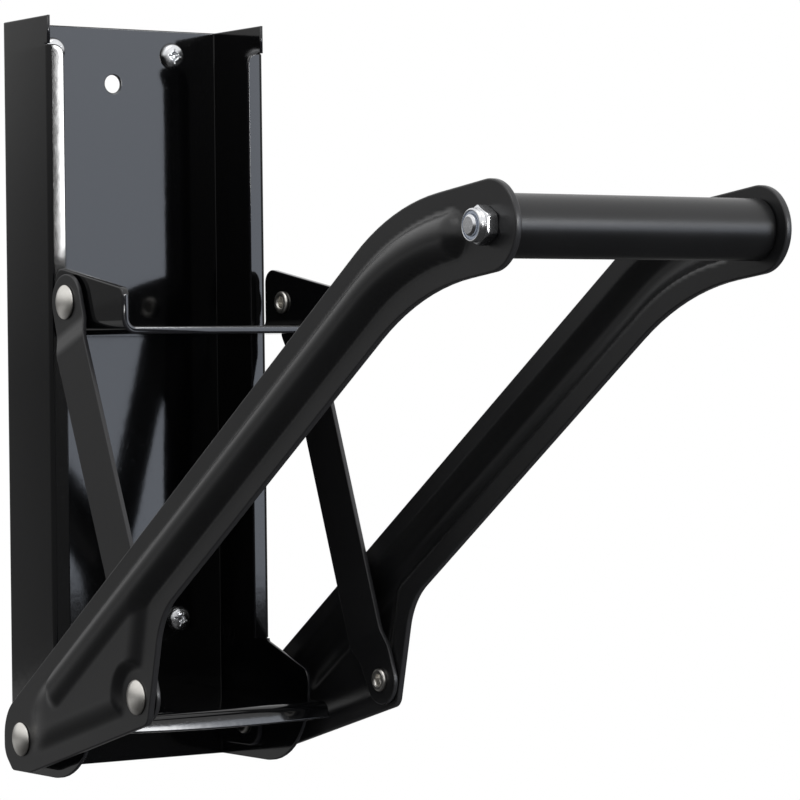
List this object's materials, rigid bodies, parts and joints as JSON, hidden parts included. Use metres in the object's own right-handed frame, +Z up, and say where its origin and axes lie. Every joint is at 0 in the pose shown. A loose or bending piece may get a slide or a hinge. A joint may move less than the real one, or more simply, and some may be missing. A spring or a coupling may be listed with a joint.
{
  "type": "lever can crusher",
  "caption": "Wall-mounted can crusher: a steel channel with a fixed anvil, a crush plate that slides down it, side links and a forked lever with a round grip.",
  "frame": {"origin": "centre of the four wall holes, on the wall plane at the back of the channel", "axes": "+X across the wall to the right for someone facing it, +Y into the wall, +Z up along the channel"},
  "size_m": [0.1107, 0.3069, 0.258],
  "materials": {
    "satin_black_coat": "satin",
    "gloss_black_coat": "gloss",
    "nickel_rivet": "satin",
    "bright_zinc": "bright",
    "white_nylon": "matte",
    "black_plastic": "matte"
  },
  "bodies": {
    "frame": {"back_channel": "satin_black_coat", "anvil_plate": "gloss_black_coat", "main_pivot_rivet_left": "nickel_rivet", "main_pivot_rivet_right": "nickel_rivet", "pivot_spacer_left": "bright_zinc", "pivot_spacer_right": "bright_zinc"},
    "lever": {"lever_arm_left": "satin_black_coat", "lever_arm_right": "satin_black_coat", "grip_bolt": "bright_zinc", "grip_nut": "bright_zinc", "nut_insert": "white_nylon", "lever_link_rivet_left": "nickel_rivet", "lever_link_rivet_right": "nickel_rivet"},
    "grip": {"grip_tube": "satin_black_coat", "grip_bush_left": "black_plastic", "grip_bush_right": "black_plastic"},
    "slider": {"crush_plate": "gloss_black_coat", "slider_link_rivet_left": "nickel_rivet", "slider_link_rivet_right": "nickel_rivet"},
    "left_link": {"link_left": "satin_black_coat", "lever_link_rivet_tail_left": "nickel_rivet"},
    "right_link": {"link_right": "satin_black_coat", "lever_link_rivet_tail_right": "nickel_rivet"}
  },
  "joints": [
    {"name": "lever_pull", "type": "hinge", "parent": "frame", "child": "lever", "pos_m": [0, -0.0198, -0.1364], "axis": [1, 0, 0], "range_deg": [0, 90]},
    {"name": "grip_spin", "type": "hinge", "parent": "lever", "child": "grip", "pos_m": [0, -0.2939, 0.02738], "axis": [1, 0, 0], "continuous": true},
    {"name": "crush_slide", "type": "slide", "parent": "frame", "child": "slider", "axis": [0, 0, -1], "range_m": [0, 0.08882]},
    {"name": "left_link_turn", "type": "hinge", "parent": "slider", "child": "left_link", "pos_m": [0, -0.0469, 0.01159], "axis": [1, 0, 0], "range_deg": [0, 25.25]},
    {"name": "right_link_turn", "type": "hinge", "parent": "slider", "child": "right_link", "pos_m": [0, -0.0469, 0.01159], "axis": [1, 0, 0], "range_deg": [0, 25.25]}
  ],
  "couplings": [
    {"joint": "crush_slide", "follows": "lever_pull", "m_per_rad": 0.056226},
    {"joint": "left_link_turn", "follows": "lever_pull", "ratio": 0.27499},
    {"joint": "right_link_turn", "follows": "lever_pull", "ratio": 0.27499}
  ]
}
